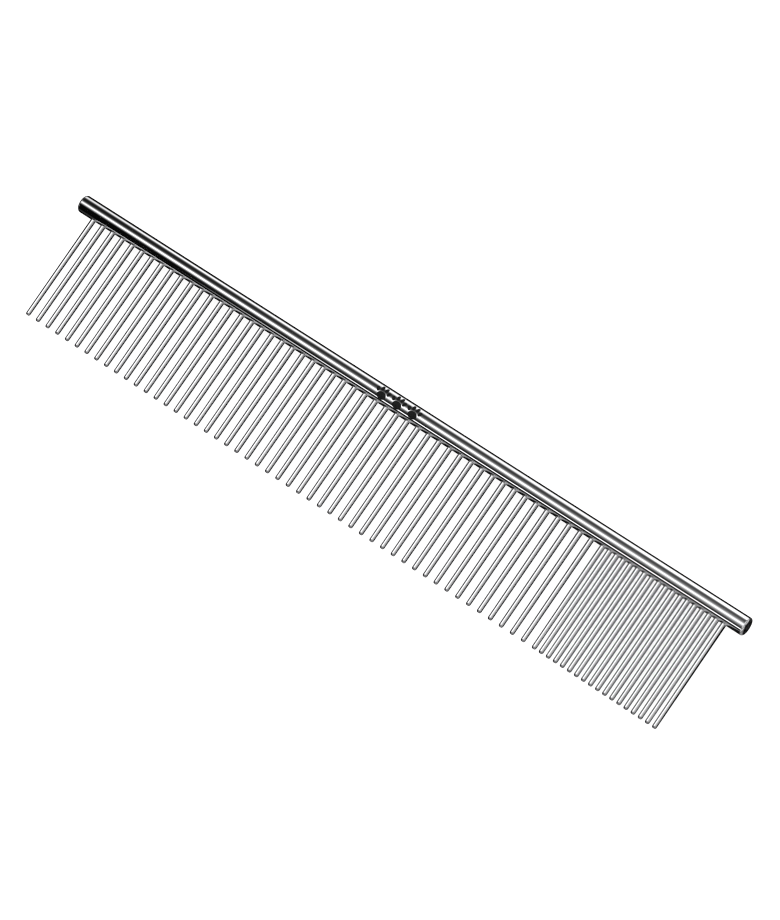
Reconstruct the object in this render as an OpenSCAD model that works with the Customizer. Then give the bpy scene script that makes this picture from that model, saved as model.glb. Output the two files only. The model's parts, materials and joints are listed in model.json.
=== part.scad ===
// Steel grooming comb: a round spine with one straight row of round pins, widely spaced
// over most of its length and closely spaced at one end. Every pin is a separate steel
// pin pressed into its own blind socket in the spine.
//
// Frame, in millimetres: the comb lies at rest on the XY plane, on the underside of the
// spine and on the tips of all its pins. X runs along the spine, +X towards the closely
// spaced pins. The pins point towards -Y. The origin is on the surface that the comb
// lies on, below the middle of the comb.

/* [Spine] */
// Length of the spine, end face to end face
spine_length = 254; // [252:0.5:300]
// Diameter of the spine
spine_diameter = 5.9; // [5.5:0.1:7]
// Radius of the rounded edge around each end face
spine_edge_radius = 0.75; // [0.2:0.05:1.5]

/* [Pin spacing] */
// Number of widely spaced pins
coarse_count = 49; // [2:1:49]
// Distance between neighbouring widely spaced pins, centre to centre
coarse_pitch = 4.04; // [3:0.01:4.05]
// Number of closely spaced pins, an even number
fine_count = 18; // [2:2:20]
// Distance between neighbouring closely spaced pins, centre to centre
fine_pitch = 2.54; // [2.2:0.01:2.6]

/* [Pins] */
// Length of a pin outside the spine, from the spine's surface to its tip
pin_length = 36; // [25:0.5:45]
// Diameter of a pin's shank, and of the socket that holds it
pin_root_diameter = 1.75; // [1.6:0.05:2]
// Diameter of a pin at its tip
pin_tip_diameter = 1.5; // [1.2:0.05:1.6]
// Radius of the rounded edge around a pin's tip
pin_tip_edge_radius = 0.45; // [0.1:0.05:0.55]
// Depth of a socket, from the spine's surface to its flat floor
socket_depth = 4.2; // [3:0.1:4.8]

/* [Hidden] */
$fn = 64;
// Two neighbouring closely spaced pins share one node, which keeps the comb within 60 nodes.
fine_pair_count = fine_count / 2;

spine_radius = spine_diameter / 2;
pin_root_radius = pin_root_diameter / 2;
pin_tip_radius = pin_tip_diameter / 2;
pin_total_length = socket_depth + pin_length;

// The two rows together are centred on the spine.
row_length = coarse_count * coarse_pitch + (fine_count - 1) * fine_pitch;
row_start = -row_length / 2;
fine_start = row_start + coarse_count * coarse_pitch;

// At rest the pins slope down by rest_tilt from the spine's axis to the surface. The tip's
// rounded edge is a ring of radius tip_ring_radius, tip_ring_distance from that axis.
tip_ring_distance = spine_radius + pin_length - pin_tip_edge_radius;
tip_ring_radius = pin_tip_radius - pin_tip_edge_radius;
rest_tilt = asin((spine_radius - pin_tip_edge_radius) / norm([tip_ring_distance, tip_ring_radius]))
    - atan2(tip_ring_radius, tip_ring_distance);

// How far the tips reach from the spine's axis, along -Y, when the comb lies at rest
tip_reach = tip_ring_distance * cos(rest_tilt) + tip_ring_radius * sin(rest_tilt)
    + pin_tip_edge_radius;
spine_axis_y = (tip_reach - spine_radius) / 2;

steel_colour = [0.72, 0.73, 0.74];
pin_colour = [0.8, 0.81, 0.82];

function coarse_x(i) = row_start + i * coarse_pitch;
function fine_x(i) = fine_start + i * fine_pitch;
function two_digits(n) = n < 10 ? str("0", n) : str(n);
function coarse_name(i) = str("coarse_pin_", two_digits(i + 1));
function fine_name(i) = str("fine_pins_", two_digits(i + 1));

// Half of the outline of one half of the spine, from its middle at y = 0 to an end face
module spine_outline() {
    edge_ring_radius = spine_radius - spine_edge_radius;
    edge_ring_distance = spine_length / 2 - spine_edge_radius;
    square([spine_radius, edge_ring_distance]);
    square([edge_ring_radius, spine_length / 2]);
    translate([edge_ring_radius, edge_ring_distance])
        circle(r = spine_edge_radius);
}

// Moves a shape from the comb's flat layout, with the spine's axis along X and the pins
// along -Y, to the way the comb lies at rest
module lay_down() {
    translate([0, spine_axis_y, spine_radius])
        rotate([rest_tilt, 0, 0])
            children();
}

// Moves a shape that points along +Z to a socket floor in the spine, pointing outwards
module at_socket_floor(x) {
    translate([x, -(spine_radius - socket_depth), 0])
        rotate([90, 0, 0])
            children();
}

module spine_bar() {
    for (side = [-1, 1])
        rotate([0, side * 90, 0])
            rotate_extrude()
                spine_outline();
}

module socket(x) {
    at_socket_floor(x)
        cylinder(d = pin_root_diameter, h = 2 * socket_depth);
}

// Half of a pin's outline, from the socket's floor at y = 0 to the tip: a straight shank,
// a slender taper and a rounded tip
module pin_outline() {
    taper_end = pin_total_length - pin_tip_edge_radius;
    polygon([
        [0, 0],
        [pin_root_radius, 0],
        [pin_root_radius, socket_depth],
        [pin_tip_radius, taper_end],
        [0, taper_end]
    ]);
    square([tip_ring_radius, pin_total_length]);
    intersection() {
        square([pin_tip_radius, pin_total_length]);
        translate([tip_ring_radius, taper_end])
            circle(r = pin_tip_edge_radius);
    }
}

module pin(x) {
    at_socket_floor(x)
        rotate_extrude()
            pin_outline();
}

module spine() {
    color(steel_colour)
        lay_down()
            difference() {
                spine_bar();
                for (i = [0 : coarse_count - 1])
                    socket(coarse_x(i));
                for (i = [0 : fine_count - 1])
                    socket(fine_x(i));
            }
}

module coarse_pin(i) {
    color(pin_colour)
        lay_down()
            pin(coarse_x(i));
}

module fine_pins(i) {
    color(pin_colour)
        lay_down()
            for (k = [0 : 1])
                pin(fine_x(2 * i + k));
}

spine();

for (i = [0 : coarse_count - 1])
    coarse_pin(i);

for (i = [0 : fine_pair_count - 1])
    fine_pins(i);
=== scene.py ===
import json
import math

import bpy
from mathutils import Matrix, Vector


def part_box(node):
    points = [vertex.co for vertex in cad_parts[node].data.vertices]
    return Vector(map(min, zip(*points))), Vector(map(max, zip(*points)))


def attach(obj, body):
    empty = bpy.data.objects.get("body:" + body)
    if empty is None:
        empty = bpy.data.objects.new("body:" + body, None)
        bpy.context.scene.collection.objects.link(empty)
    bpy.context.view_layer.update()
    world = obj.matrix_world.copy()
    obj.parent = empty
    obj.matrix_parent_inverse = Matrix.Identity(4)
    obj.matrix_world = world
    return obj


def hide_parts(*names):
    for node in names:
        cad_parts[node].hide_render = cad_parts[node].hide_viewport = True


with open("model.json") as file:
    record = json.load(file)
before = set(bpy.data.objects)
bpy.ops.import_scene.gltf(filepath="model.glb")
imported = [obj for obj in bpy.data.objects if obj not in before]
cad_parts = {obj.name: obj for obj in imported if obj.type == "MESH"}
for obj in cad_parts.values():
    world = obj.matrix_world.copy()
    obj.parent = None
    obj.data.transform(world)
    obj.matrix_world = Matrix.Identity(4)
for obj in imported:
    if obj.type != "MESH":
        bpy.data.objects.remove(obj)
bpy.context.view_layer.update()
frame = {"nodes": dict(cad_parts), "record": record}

# Lengths are in metres unless a comment says otherwise. Angles are in radians, but those of
# the arcs, the mark, the lights and the camera are written in degrees.

# ---------------------------------------------------------------- measures of the comb
MM = 0.001
mounts = {mount["name"]: mount for mount in frame["record"]["mounts"]}
SPINE_CENTRE = Vector(mounts["spine_grip"]["pos_m"])
SPINE_RADIUS = mounts["spine_grip"]["dims"]["r_mm"] * MM
SPINE_HALF_LENGTH = mounts["fine_end_face"]["pos_m"][0]
SPINE_EDGE_RADIUS = 0.75 * MM
SPINE_SEGMENTS = 160

PIN_LENGTH = 36 * MM
PIN_ROOT_RADIUS = 0.875 * MM
PIN_TIP_RADIUS = 0.75 * MM
PIN_TIP_EDGE_RADIUS = 0.45 * MM
# A tip's rounding is as wide as in the CAD model, and this many times longer.
PIN_TIP_STRETCH = 1.55
# Where the rounding starts, measured along the pin from the spine's axis
PIN_TIP_START = SPINE_RADIUS + PIN_LENGTH - PIN_TIP_STRETCH * PIN_TIP_EDGE_RADIUS
# How far a pin goes on inside the spine, out of sight
PIN_SUNK = 1.2 * MM
PIN_SEGMENTS = 40
# A ring this close to a rounded edge keeps the smooth shading of the edge off the flat.
CREASE_GAP = 0.03 * MM

# The comb lies on its spine and on its pin tips, so the pins slope down by REST_TILT.
TIP_RING_DISTANCE = SPINE_RADIUS + PIN_LENGTH - PIN_TIP_EDGE_RADIUS
TIP_RING_RADIUS = PIN_TIP_RADIUS - PIN_TIP_EDGE_RADIUS
TIP_RING_REACH = math.hypot(TIP_RING_DISTANCE, TIP_RING_RADIUS)
REST_TILT = math.asin((SPINE_RADIUS - PIN_TIP_EDGE_RADIUS) / TIP_RING_REACH)
REST_TILT -= math.atan2(TIP_RING_RADIUS, TIP_RING_DISTANCE)
PIN_DIRECTION = Vector((0.0, -math.cos(REST_TILT), -math.sin(REST_TILT)))
X_DIRECTION = Vector((1.0, 0.0, 0.0))


# ---------------------------------------------------------------- meshes
def new_piece(name, points, faces):
    """A mesh object in the scene."""
    mesh = bpy.data.meshes.new(name)
    mesh.from_pydata(points, [], faces)
    mesh.validate()
    piece = bpy.data.objects.new(name, mesh)
    bpy.context.scene.collection.objects.link(piece)
    return piece


def joined(shells):
    """The points and the faces of several closed shells, one list of each."""
    points = []
    faces = []
    for shell_points, shell_faces in shells:
        first = len(points)
        points += shell_points
        faces += [tuple(first + corner for corner in face) for face in shell_faces]
    return points, faces


def turned_shell(outline, origin, direction, segments):
    """The points and the faces of one solid of revolution, round an axis through the origin."""
    direction = direction.normalized()
    across = direction.orthogonal().normalized()
    sideways = direction.cross(across)
    points = [origin + direction * outline[0][0]]
    for along, radius in outline[1:-1]:
        for segment in range(segments):
            turn = 2 * math.pi * segment / segments
            outward = across * math.cos(turn) + sideways * math.sin(turn)
            points.append(origin + direction * along + outward * radius)
    points.append(origin + direction * outline[-1][0])
    faces = []
    rings = len(outline) - 2
    last = len(points) - 1
    for segment in range(segments):
        following = (segment + 1) % segments
        faces.append((0, 1 + following, 1 + segment))
        for ring in range(rings - 1):
            here = 1 + ring * segments
            there = here + segments
            faces.append((here + segment, here + following, there + following, there + segment))
        end_ring = 1 + (rings - 1) * segments
        faces.append((last, end_ring + segment, end_ring + following))
    return points, faces


def turned_piece(name, outline, origins, direction, segments):
    """One smooth piece with a closed solid of revolution at each origin.

    The outline is a list of (distance along the axis, distance from the axis). It runs from
    one end of the axis to the other, and its first and last points are on the axis.
    """
    shells = [turned_shell(outline, origin, direction, segments) for origin in origins]
    piece = new_piece(name, *joined(shells))
    piece.data.shade_smooth()
    return piece


def arc(centre_along, centre_radius, radius, start, end, steps, stretch=1.0):
    """A rounded edge as outline points, from start to end degrees.

    stretch is how much longer the edge is along the axis than across it.
    """
    points = []
    for step in range(steps + 1):
        angle = math.radians(start + (end - start) * step / steps)
        along = centre_along + stretch * radius * math.sin(angle)
        points.append((along, centre_radius + radius * math.cos(angle)))
    return points


def spine_outline():
    """From the end face at the widely spaced pins to the end face at the close ones."""
    ring_radius = SPINE_RADIUS - SPINE_EDGE_RADIUS
    ring_distance = SPINE_HALF_LENGTH - SPINE_EDGE_RADIUS
    body_steps = 48
    edge_steps = 14
    left = arc(-ring_distance, ring_radius, SPINE_EDGE_RADIUS, -90, 0, edge_steps)
    straight = ring_distance - CREASE_GAP
    body = []
    for step in range(body_steps + 1):
        body.append((straight * (2 * step / body_steps - 1), SPINE_RADIUS))
    right = arc(ring_distance, ring_radius, SPINE_EDGE_RADIUS, 0, 90, edge_steps)
    face_rings = (0.35 * ring_radius, 0.7 * ring_radius, ring_radius - CREASE_GAP)
    left_face = [(-SPINE_HALF_LENGTH, radius) for radius in face_rings]
    right_face = [(SPINE_HALF_LENGTH, radius) for radius in reversed(face_rings)]
    return (
        [(-SPINE_HALF_LENGTH, 0.0)] + left_face + left + body
        + right + right_face + [(SPINE_HALF_LENGTH, 0.0)]
    )


def pin_outline():
    """From just inside the spine to the rounded tip, measured from the spine's axis."""
    start = SPINE_RADIUS - PIN_SUNK
    tip = SPINE_RADIUS + PIN_LENGTH
    taper_steps = 16
    edge_steps = 10
    taper_length = PIN_TIP_START - SPINE_RADIUS
    outline = [(start, 0.0), (start, PIN_ROOT_RADIUS)]
    for step in range(taper_steps + 1):
        share = (step / taper_steps) * (1 - CREASE_GAP / taper_length)
        along = SPINE_RADIUS + taper_length * share
        radius = PIN_ROOT_RADIUS + (PIN_TIP_RADIUS - PIN_ROOT_RADIUS) * share
        outline.append((along, radius))
    outline += arc(
        PIN_TIP_START, TIP_RING_RADIUS, PIN_TIP_EDGE_RADIUS, 0, 90, edge_steps, PIN_TIP_STRETCH
    )
    outline.append((tip, TIP_RING_RADIUS - CREASE_GAP))
    outline.append((tip, 0.0))
    return outline


# ---------------------------------------------------------------- shader nodes
def new_tree(name):
    """An empty node material, its node tree and its output node."""
    material = bpy.data.materials.new(name)
    material.use_nodes = True
    tree = material.node_tree
    tree.nodes.clear()
    output = tree.nodes.new("ShaderNodeOutputMaterial")
    return material, tree, output


def calculate(tree, operation, first, second=0.0):
    """A Math node; each input is a number or another node's output."""
    node = tree.nodes.new("ShaderNodeMath")
    node.operation = operation
    for socket, value in zip(node.inputs, (first, second)):
        if isinstance(value, (int, float)):
            socket.default_value = value
        else:
            tree.links.new(value, socket)
    return node.outputs["Value"]


def spread(tree, value, limits, results, smooth=False):
    """A Map Range node that takes the two limits to the two results."""
    node = tree.nodes.new("ShaderNodeMapRange")
    if smooth:
        node.interpolation_type = "SMOOTHSTEP"
    tree.links.new(value, node.inputs["Value"])
    node.inputs["From Min"].default_value = limits[0]
    node.inputs["From Max"].default_value = limits[1]
    node.inputs["To Min"].default_value = results[0]
    node.inputs["To Max"].default_value = results[1]
    return node.outputs["Result"]


def ramp(tree, value, stops):
    """A brightness for each value; stops are (value, brightness), from the lowest value up."""
    low = stops[0][0]
    high = stops[-1][0]
    node = tree.nodes.new("ShaderNodeValToRGB")
    elements = node.color_ramp.elements
    while len(elements) < len(stops):
        elements.new(1.0)
    for element, (place, brightness) in zip(elements, stops):
        element.position = (place - low) / (high - low)
        element.color = (brightness, brightness, brightness, 1.0)
    tree.links.new(spread(tree, value, (low, high), (0.0, 1.0)), node.inputs["Fac"])
    return node.outputs["Color"]


def blended(tree, how, share, first, second):
    """A colour Mix node; every input is a constant or another node's output."""
    node = tree.nodes.new("ShaderNodeMix")
    node.data_type = "RGBA"
    node.blend_type = how
    for name, value in (("Factor", share), ("A", first), ("B", second)):
        if isinstance(value, (float, tuple)):
            node.inputs[name].default_value = value
        else:
            tree.links.new(value, node.inputs[name])
    return node.outputs["Result"]


def window(tree, value, limits, softness):
    """1 between the two limits, falling smoothly to 0 outside them."""
    low, high = limits
    rising = spread(tree, value, (low - softness, low), (0.0, 1.0), smooth=True)
    falling = spread(tree, value, (high, high + softness), (1.0, 0.0), smooth=True)
    return calculate(tree, "MULTIPLY", rising, falling)


def noise(tree, place, stretch, scale, detail=2.0, roughness=0.5):
    """Noise over a stretched copy of the coordinates, 0 to 1."""
    mapping = tree.nodes.new("ShaderNodeMapping")
    mapping.inputs["Scale"].default_value = stretch
    tree.links.new(place, mapping.inputs["Vector"])
    node = tree.nodes.new("ShaderNodeTexNoise")
    node.inputs["Scale"].default_value = scale
    node.inputs["Detail"].default_value = detail
    node.inputs["Roughness"].default_value = roughness
    tree.links.new(mapping.outputs["Vector"], node.inputs["Vector"])
    return node.outputs["Fac"]


# ---------------------------------------------------------------- materials
# Scales of the noise, in features per metre, from the widest pattern to the finest
HAZE_SCALE = 70.0
SCRATCH_SCALE = 900.0
BLOTCH_SCALE = 1100.0
SPECK_SCALE = 1500.0
DRAW_LINE_SCALE = 2600.0
ETCH_SCALE = 3800.0
GRAIN_SCALE = 5200.0
# How the noise is stretched along X, Y and Z: a smaller number makes a longer pattern.
EVEN = (1.0, 1.0, 1.0)
ALONG_SPINE = (0.02, 1.0, 1.0)
ALONG_PINS = (1.0, 0.04, 1.0)
UPRIGHT = (1.0, 1.0, 0.25)
# Most of the noise lies between these two values.
NOISE_MIDDLE = (0.35, 0.65)


def new_surface(name, metallic):
    """A material with one shader: the material, its tree, the shader and object coordinates."""
    material, tree, output = new_tree(name)
    shader = tree.nodes.new("ShaderNodeBsdfPrincipled")
    shader.inputs["Metallic"].default_value = metallic
    tree.links.new(shader.outputs["BSDF"], output.inputs["Surface"])
    place = tree.nodes.new("ShaderNodeTexCoord").outputs["Object"]
    return material, tree, shader, place


def add_tint(tree, shader, share, first, second):
    """A base colour that goes from the first to the second as the share goes from 0 to 1."""
    colour = blended(tree, "MIX", share, (*first, 1.0), (*second, 1.0))
    tree.links.new(colour, shader.inputs["Base Color"])


def add_relief(tree, shader, height, strength, depth):
    """Relief of the given depth, where the height is 0 to 1."""
    bump = tree.nodes.new("ShaderNodeBump")
    bump.inputs["Strength"].default_value = strength
    bump.inputs["Distance"].default_value = depth
    tree.links.new(height, bump.inputs["Height"])
    tree.links.new(bump.outputs["Normal"], shader.inputs["Normal"])


def darkened(colour, factor):
    """The colour with each of its channels multiplied by the factor."""
    return tuple(channel * factor for channel in colour)


def polished_steel(name, grey, along, smoothness):
    """Polished steel with draw lines along one axis, faint haze, specks and small scratches.

    along is the stretch of the draw lines; smoothness is the base roughness.
    """
    material, tree, shader, place = new_surface(name, 1.0)
    lines = noise(tree, place, along, DRAW_LINE_SCALE, detail=3.0)
    haze = noise(tree, place, EVEN, HAZE_SCALE, detail=3.0)
    specks = noise(tree, place, EVEN, SPECK_SCALE, roughness=0.7)
    # The scratches run the same way as the draw lines, but are stretched far less.
    scratch_stretch = tuple(0.35 + 0.65 * factor for factor in along)
    scratches = noise(tree, place, scratch_stretch, SCRATCH_SCALE, detail=1.0)

    haze_part = calculate(tree, "MULTIPLY", haze, 0.6)
    lines_part = calculate(tree, "MULTIPLY", lines, 0.4)
    shade = calculate(tree, "ADD", haze_part, lines_part)
    share = spread(tree, shade, NOISE_MIDDLE, (0.0, 1.0))
    add_tint(tree, shader, share, darkened(grey, 0.94), grey)

    haze_dullness = spread(tree, haze, (0.35, 0.7), (0.0, 0.035))
    speck_dullness = spread(tree, specks, (0.62, 0.75), (0.0, 0.12))
    dullness = calculate(tree, "ADD", haze_dullness, speck_dullness)
    roughness = calculate(tree, "ADD", dullness, smoothness)
    tree.links.new(roughness, shader.inputs["Roughness"])

    line_height = calculate(tree, "MULTIPLY", lines, 0.5)
    scratch_height = spread(tree, scratches, (0.25, 0.32), (0.0, 0.5))
    height = calculate(tree, "ADD", line_height, scratch_height)
    add_relief(tree, shader, height, strength=0.05, depth=0.004 * MM)
    return material


def ground_steel(name, grey, roughness_range):
    """Steel left as ground or sawn: fine grain, uneven gloss and no mirror polish."""
    material, tree, shader, place = new_surface(name, 1.0)
    blotches = noise(tree, place, EVEN, BLOTCH_SCALE, detail=3.0, roughness=0.6)
    grain = noise(tree, place, UPRIGHT, GRAIN_SCALE)
    share = spread(tree, blotches, NOISE_MIDDLE, (0.0, 1.0))
    add_tint(tree, shader, share, darkened(grey, 0.7), grey)
    roughness = spread(tree, blotches, NOISE_MIDDLE, roughness_range)
    tree.links.new(roughness, shader.inputs["Roughness"])
    add_relief(tree, shader, grain, strength=0.25, depth=0.02 * MM)
    return material


def etched_black():
    """The black of an acid-etched mark: matt, slightly uneven, with a few worn specks."""
    material, tree, shader, place = new_surface("etched_black", 0.0)
    shader.inputs["Specular IOR Level"].default_value = 0.2
    grain = noise(tree, place, EVEN, ETCH_SCALE, detail=3.0, roughness=0.6)
    worn = spread(tree, grain, (0.45, 0.75), (0.0, 1.0))
    add_tint(tree, shader, worn, (0.002, 0.002, 0.002), (0.014, 0.014, 0.014))
    roughness = spread(tree, grain, (0.3, 0.7), (0.45, 0.7))
    tree.links.new(roughness, shader.inputs["Roughness"])
    add_relief(tree, shader, grain, strength=0.2, depth=0.01 * MM)
    return material


spine_steel = polished_steel("spine_steel", (0.70, 0.70, 0.71), ALONG_SPINE, 0.05)
pin_steel = polished_steel("pin_steel", (0.67, 0.67, 0.68), ALONG_PINS, 0.07)
rim_steel = ground_steel("ground_rim_steel", (0.74, 0.74, 0.75), (0.10, 0.20))
# The tips' dark grey is painted shade, for the dark reflections on the rounded tips; their
# rougher ground finish is their own.
tip_steel_painted_shade = ground_steel("ground_tip_painted_shade_steel", (0.37, 0.37, 0.38), (0.08, 0.20))
# The end faces' dark grey is painted shade, for the dark reflections on the end faces; their
# rough sawn texture is their own.
end_steel_painted_shade = ground_steel("sawn_end_painted_shade_steel", (0.42, 0.42, 0.43), (0.10, 0.34))


# ---------------------------------------------------------------- the comb's pieces
# A piece's first material is its polished steel. These are the numbers of the next two.
GROUND = 1
SAWN_PAINTED_SHADE = 2
# The sawn face, whose dark grey is painted shade, and the ground rim reach this far from an
# end, as shares of the edge's radius.
SAWN_REACH = 0.25
GROUND_REACH = 0.9


def add_piece(piece, material, node):
    """The piece stands for a node of the CAD model and moves with it."""
    piece.data.materials.append(material)
    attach(piece, "root")
    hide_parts(node)


def pin_origins(node):
    """Where the axes of a node's pins meet the spine's axis: one pin, or two side by side."""
    one_pin = 2 * PIN_ROOT_RADIUS
    low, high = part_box(node)
    if high.x - low.x < 1.5 * one_pin:
        places = [(low.x + high.x) / 2]
    else:
        places = [low.x + PIN_ROOT_RADIUS, high.x - PIN_ROOT_RADIUS]
    return [Vector((x, SPINE_CENTRE.y, SPINE_CENTRE.z)) for x in places]


def finish_ends(bar):
    """The rounded edges are ground, and the end faces with the edges' inner part are sawn; the
    sawn part's dark grey is painted shade.
    """
    bar.data.materials.append(rim_steel)
    bar.data.materials.append(end_steel_painted_shade)
    for face in bar.data.polygons:
        from_end = SPINE_HALF_LENGTH - abs(face.center.x - SPINE_CENTRE.x)
        if from_end < SAWN_REACH * SPINE_EDGE_RADIUS:
            face.material_index = SAWN_PAINTED_SHADE
        elif from_end < GROUND_REACH * SPINE_EDGE_RADIUS:
            face.material_index = GROUND


def finish_tips(pins):
    """The rounded tips are ground, and not polished; their dark grey is painted shade."""
    pins.data.materials.append(tip_steel_painted_shade)
    for face in pins.data.polygons:
        from_axis = face.center - SPINE_CENTRE
        if from_axis.dot(PIN_DIRECTION) > PIN_TIP_START:
            face.material_index = GROUND


spine = turned_piece(
    "polished_spine", spine_outline(), [SPINE_CENTRE], X_DIRECTION, SPINE_SEGMENTS
)
add_piece(spine, spine_steel, "spine")
finish_ends(spine)
for node in sorted(frame["nodes"]):
    if node != "spine":
        pins = turned_piece(
            "polished_" + node, pin_outline(), pin_origins(node), PIN_DIRECTION, PIN_SEGMENTS
        )
        add_piece(pins, pin_steel, node)
        finish_tips(pins)


# ---------------------------------------------------------------- the etched mark
# A row of paw prints on top of the spine's middle, where the photo has a mark. Places are
# in millimetres along X and round the spine, away from the pins.
PAW_COUNT = 3
PAW_PITCH = 5.9
# One paw's pads: (along, round, half size along, half size round, turn)
PAW_PADS = (
    (0.0, -0.60, 1.60, 1.20, 0.0),
    (-2.05, 0.85, 0.50, 0.85, 25.0),
    (-0.75, 1.70, 0.52, 0.88, 8.0),
    (0.75, 1.70, 0.52, 0.88, -8.0),
    (2.05, 0.85, 0.50, 0.85, -25.0),
)
PAD_STEPS = 32
PAD_RINGS = 5
# With 2 a pad's outline would be an ellipse, and with more it is squarer.
PAD_POWER = 2.2
# The middle of the row, as the angle from the top of the spine, positive away from the pins
MARK_TURN = -6.5
# How far a pad stands out of the spine's surface, and how far it reaches into it
MARK_PROUD = 0.012 * MM
MARK_SUNK = 0.05 * MM


def on_spine(along, aside, lift):
    """A point over the spine's surface, from its place in millimetres and its lift."""
    angle = math.radians(MARK_TURN) + aside * MM / SPINE_RADIUS
    outward = Vector((0.0, math.sin(angle), math.cos(angle)))
    return SPINE_CENTRE + X_DIRECTION * (along * MM) + outward * (SPINE_RADIUS + lift)


def squarish(value, half_size):
    """One coordinate of a squarish ellipse, from the cosine or the sine of its angle."""
    return math.copysign(abs(value) ** (2 / PAD_POWER), value) * half_size


def pad_layer(pad, lift):
    """One side of a pad: its middle point, and then rings of points out to its outline."""
    along, aside, half_along, half_aside, turn = pad
    cosine = math.cos(math.radians(turn))
    sine = math.sin(math.radians(turn))
    points = [on_spine(along, aside, lift)]
    for ring in range(1, PAD_RINGS + 1):
        for step in range(PAD_STEPS):
            angle = 2 * math.pi * step / PAD_STEPS
            u = squarish(math.cos(angle), half_along) * ring / PAD_RINGS
            v = squarish(math.sin(angle), half_aside) * ring / PAD_RINGS
            turned_u = u * cosine - v * sine
            turned_v = u * sine + v * cosine
            points.append(on_spine(along + turned_u, aside + turned_v, lift))
    return points


def pad_shell(pad):
    """The points and the faces of a thin closed pad that follows the round of the spine."""
    points = pad_layer(pad, MARK_PROUD) + pad_layer(pad, -MARK_SUNK)
    low = len(points) // 2
    faces = []
    for step in range(PAD_STEPS):
        following = (step + 1) % PAD_STEPS
        faces.append((0, 1 + step, 1 + following))
        faces.append((low, low + 1 + following, low + 1 + step))
        for ring in range(PAD_RINGS - 1):
            inner = 1 + ring * PAD_STEPS
            outer = inner + PAD_STEPS
            faces.append((inner + step, outer + step, outer + following, inner + following))
            faces.append((
                low + inner + step, low + inner + following,
                low + outer + following, low + outer + step,
            ))
        edge = 1 + (PAD_RINGS - 1) * PAD_STEPS
        faces.append((edge + step, low + edge + step, low + edge + following, edge + following))
    return points, faces


def etched_mark():
    """The row of paw prints, as one piece."""
    shells = []
    for index in range(PAW_COUNT):
        shift = (index - (PAW_COUNT - 1) / 2) * PAW_PITCH
        for along, *others in PAW_PADS:
            shells.append(pad_shell((along + shift, *others)))
    mark = new_piece("etched_paw_marks", *joined(shells))
    mark.data.materials.append(etched_black())
    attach(mark, "root")


etched_mark()


# ---------------------------------------------------------------- floor
FLOOR_HALF_SIZE = 12.0
FLOOR_GREY = 0.35
FLOOR_GLOW = 0.85


def studio_floor():
    """A plain white floor, lit a little from below like a light table."""
    low = -FLOOR_HALF_SIZE
    high = FLOOR_HALF_SIZE
    corners = [(low, low, 0), (high, low, 0), (high, high, 0), (low, high, 0)]
    floor = new_piece("floor", corners, [(0, 1, 2, 3)])
    material, tree, output = new_tree("floor_white")
    paint = tree.nodes.new("ShaderNodeBsdfDiffuse")
    paint.inputs["Color"].default_value = (FLOOR_GREY, FLOOR_GREY, FLOOR_GREY, 1.0)
    glow = tree.nodes.new("ShaderNodeEmission")
    glow.inputs["Strength"].default_value = FLOOR_GLOW
    both = tree.nodes.new("ShaderNodeAddShader")
    tree.links.new(paint.outputs["BSDF"], both.inputs[0])
    tree.links.new(glow.outputs["Emission"], both.inputs[1])
    tree.links.new(both.outputs["Shader"], output.inputs["Surface"])
    floor.data.materials.append(material)
    floor.visible_glossy = False


# ---------------------------------------------------------------- the dome's light
# Only reflections show the dome. For a point of it, turn is the angle round the X axis from
# straight up, positive towards +Y, and lean is the angle from the YZ plane, positive towards
# +X. A list holds (angle, brightness) from the lowest angle to the highest.
DOME_RADIUS = 0.9
DOME_RINGS = 24
DOME_SEGMENTS = 48

# Strips along X, by turn: the overhead softbox is at about -5, a dark gap follows, and a
# second softbox is at about 80. Below the horizon it is dark. LIGHT_FAR is for the end of
# the comb that is further from the camera, and LIGHT_NEAR for the other end.
LIGHT_NEAR = (
    (-180, 0.01), (-100, 0.01), (-80, 0.03), (-57, 0.05), (-50, 0.06), (-44, 0.07),
    (-36, 0.20), (-27, 0.46), (-19, 0.90), (-12, 1.6), (1, 1.6), (6, 0.95), (13, 0.50),
    (20, 0.26), (28, 0.16), (38, 0.09), (47, 0.11), (54, 0.28), (61, 0.85), (66, 1.6),
    (99, 1.6), (104, 0.80), (109, 0.10), (115, 0.01), (180, 0.01),
)
LIGHT_FAR = (
    (-180, 0.003), (-128, 0.003), (-122, 0.05), (-106, 0.05), (-98, 0.01), (-90, 0.003),
    (-40, 0.004), (-33, 0.01), (-27, 0.10), (-19, 0.60), (-11, 1.5), (-8, 2.2), (0, 2.2),
    (5, 1.1), (11, 0.50), (16, 0.16), (22, 0.06), (30, 0.025), (38, 0.018), (47, 0.02),
    (55, 0.05), (62, 0.20), (70, 0.70), (76, 1.5), (90, 1.6), (95, 1.0), (100, 0.30),
    (106, 0.05), (115, 0.006), (180, 0.003),
)
# Over this range of lean the far strips give way to the near ones.
FAR_TO_NEAR = (-31.0, -8.0)
# A narrow strip low on the pins' side, which fades out towards the far end of the comb
STRIP_TURN = -67.0
STRIP_HALF_WIDTH = 6.8
STRIP_BRIGHTNESS = 1.9
STRIP_FADE = (-31.0, -21.0)
# How all the strips darken towards the dome's two ends, by lean
FALL_SIDEWAYS = (
    (-90, 0.01), (-62, 0.015), (-52, 0.05), (-44, 0.25), (-38, 0.58), (-35, 0.76),
    (-31, 1.0), (0, 1.0), (10, 0.76), (26, 0.53), (48, 0.46), (66, 0.42), (73, 0.01),
    (90, 0.01),
)
# The strips fill one band over the comb, by lean, and one band along it, by the share of the
# dome's radius against the pins' direction. The rest of the dome is a white tent.
STRIPS_LEAN = (-38.0, -6.0)
STRIPS_LEAN_SOFTNESS = 8.0
STRIPS_ASIDE = (-0.003, 0.092)
STRIPS_ASIDE_SOFTNESS = 0.012

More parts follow.
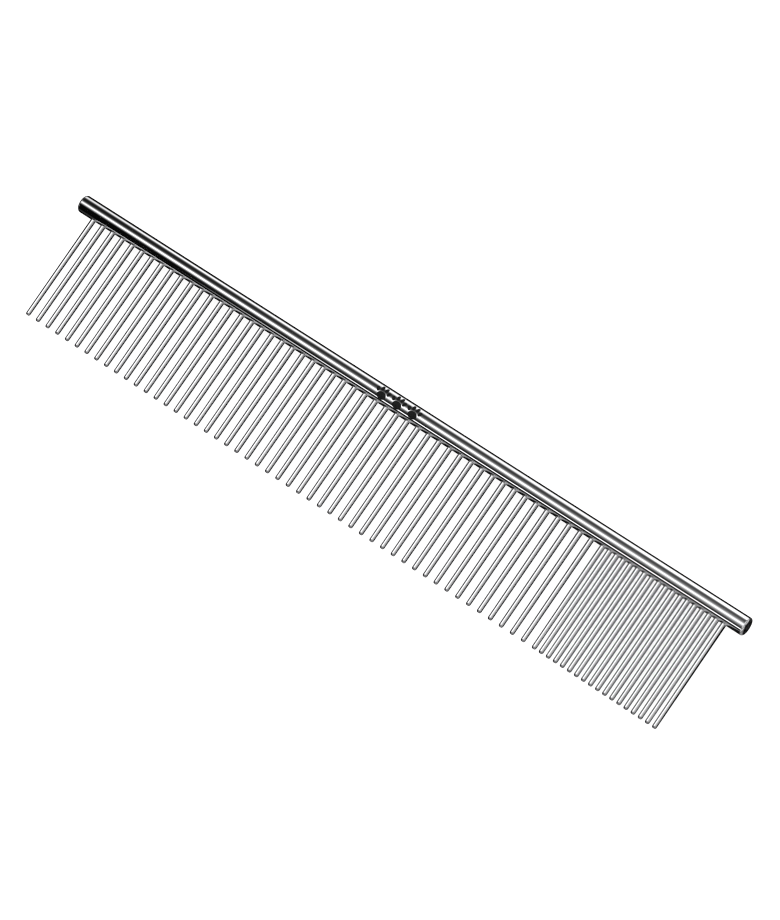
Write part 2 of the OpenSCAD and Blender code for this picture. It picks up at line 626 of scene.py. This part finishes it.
# The tent by height, from straight below (-1) to straight above (1)
TENT_HEIGHT = (
    (-1, 0.30), (-0.6, 0.45), (-0.34, 0.50), (-0.28, 0.03), (-0.16, 0.03), (-0.10, 0.75),
    (0.40, 0.90), (0.47, 0.20), (0.60, 0.20), (0.68, 1.0), (1, 1.2),
)
# The tent is darker low behind the spine, by turn, and beyond the far end, by lean.
TENT_ROUND = ((-180, 0.12), (-172, 1.0), (104, 1.0), (118, 0.12), (180, 0.12))
TENT_SIDEWAYS = (
    (-90, 0.35), (-76, 0.35), (-68, 0.05), (-50, 0.05), (-44, 0.9), (90, 1.0),
)


def dome_ball():
    """A ball round the comb, with its axis along X."""
    outline = [(-DOME_RADIUS, 0.0)]
    for ring in range(1, DOME_RINGS):
        angle = math.pi * ring / DOME_RINGS
        outline.append((-DOME_RADIUS * math.cos(angle), DOME_RADIUS * math.sin(angle)))
    outline.append((DOME_RADIUS, 0.0))
    dome = turned_piece("light_dome", outline, [Vector()], X_DIRECTION, DOME_SEGMENTS)
    dome.location = (0.0, SPINE_CENTRE.y, 0.0)
    return dome


def strips_light(tree, turn, lean):
    """Bright and dark strips along X, which the comb reflects towards the camera."""
    nearness = spread(tree, lean, FAR_TO_NEAR, (0.0, 1.0))
    softboxes = blended(
        tree, "MIX", nearness, ramp(tree, turn, LIGHT_FAR), ramp(tree, turn, LIGHT_NEAR)
    )
    off_strip = calculate(tree, "ABSOLUTE", calculate(tree, "SUBTRACT", turn, STRIP_TURN))
    in_strip = spread(
        tree, off_strip, (STRIP_HALF_WIDTH, 0.5 * STRIP_HALF_WIDTH), (0.0, 1.0), smooth=True
    )
    brightness = spread(tree, lean, STRIP_FADE, (0.0, STRIP_BRIGHTNESS), smooth=True)
    strip = calculate(tree, "MULTIPLY", in_strip, brightness)
    total = blended(tree, "ADD", 1.0, softboxes, strip)
    return blended(tree, "MULTIPLY", 1.0, total, ramp(tree, lean, FALL_SIDEWAYS))


def tent_light(tree, turn, lean, height):
    """The white tent that is all round the strips."""
    light = ramp(tree, height, TENT_HEIGHT)
    light = blended(tree, "MULTIPLY", 1.0, light, ramp(tree, turn, TENT_ROUND))
    return blended(tree, "MULTIPLY", 1.0, light, ramp(tree, lean, TENT_SIDEWAYS))


def dome_light():
    """The glow of the dome, worked out from the place on it."""
    material, tree, output = new_tree("dome_light")
    place = tree.nodes.new("ShaderNodeTexCoord").outputs["Object"]
    split = tree.nodes.new("ShaderNodeSeparateXYZ")
    tree.links.new(place, split.inputs["Vector"])
    x, y, z = (split.outputs[axis] for axis in "XYZ")
    degree = math.degrees(1.0)
    turn = calculate(tree, "MULTIPLY", calculate(tree, "ARCTAN2", y, z), degree)
    x_share = calculate(tree, "DIVIDE", x, DOME_RADIUS)
    lean = calculate(tree, "MULTIPLY", calculate(tree, "ARCSINE", x_share), degree)
    height = calculate(tree, "DIVIDE", z, DOME_RADIUS)
    # aside is the share of the radius against the pins' direction
    aside = calculate(
        tree, "ADD",
        calculate(tree, "MULTIPLY", y, math.cos(REST_TILT) / DOME_RADIUS),
        calculate(tree, "MULTIPLY", z, math.sin(REST_TILT) / DOME_RADIUS),
    )
    in_strips = calculate(
        tree, "MAXIMUM",
        window(tree, lean, STRIPS_LEAN, STRIPS_LEAN_SOFTNESS),
        window(tree, aside, STRIPS_ASIDE, STRIPS_ASIDE_SOFTNESS),
    )
    tent = tent_light(tree, turn, lean, height)
    strips = strips_light(tree, turn, lean)
    light = tree.nodes.new("ShaderNodeEmission")
    tree.links.new(blended(tree, "MIX", in_strips, tent, strips), light.inputs["Color"])
    tree.links.new(light.outputs["Emission"], output.inputs["Surface"])
    # Reflections find the dome by themselves, so it isn't sampled as a lamp.
    material.cycles.emission_sampling = "NONE"
    return material


def studio_dome():
    """A dome of soft lights, which only reflections show."""
    dome = dome_ball()
    dome.data.materials.append(dome_light())
    dome.visible_camera = False
    dome.visible_diffuse = False
    dome.visible_transmission = False
    dome.visible_volume_scatter = False
    dome.visible_shadow = False


# ---------------------------------------------------------------- surroundings and camera
def white_world():
    """An even white surrounding, which lights the floor and is the background."""
    world = bpy.data.worlds.new("white_surround")
    world.use_nodes = True
    background = world.node_tree.nodes["Background"]
    background.inputs["Color"].default_value = (1.0, 1.0, 1.0, 1.0)
    background.inputs["Strength"].default_value = 1.1
    bpy.context.scene.world = world


def photo_camera():
    """The camera at the photograph's angle: above, to the right and rolled."""
    aim = Vector((7.5 * MM, 2.5 * MM, 3.0 * MM))
    distance = 1.0162
    azimuth = math.radians(71.276)
    elevation = math.radians(67.375)
    roll = math.radians(-36.93)
    level = math.cos(elevation)
    back = Vector(
        (math.sin(azimuth) * level, -math.cos(azimuth) * level, math.sin(elevation))
    )
    data = bpy.data.cameras.new("camera")
    data.sensor_width = 36.0
    data.lens = 133.2
    data.clip_start = 0.05
    data.clip_end = 60.0
    camera = bpy.data.objects.new("camera", data)
    bpy.context.scene.collection.objects.link(camera)
    facing = (-back).to_track_quat("-Z", "Y").to_matrix().to_4x4()
    camera.matrix_world = (
        Matrix.Translation(aim + back * distance) @ facing @ Matrix.Rotation(roll, 4, "Z")
    )
    bpy.context.scene.camera = camera


studio_floor()
studio_dome()
white_world()
photo_camera()
bpy.context.scene.view_settings.view_transform = "Standard"
# A pixel filter narrower than the usual 1.5 keeps the pins nearly as sharp as in the photo.
bpy.context.scene.cycles.filter_width = 1.1
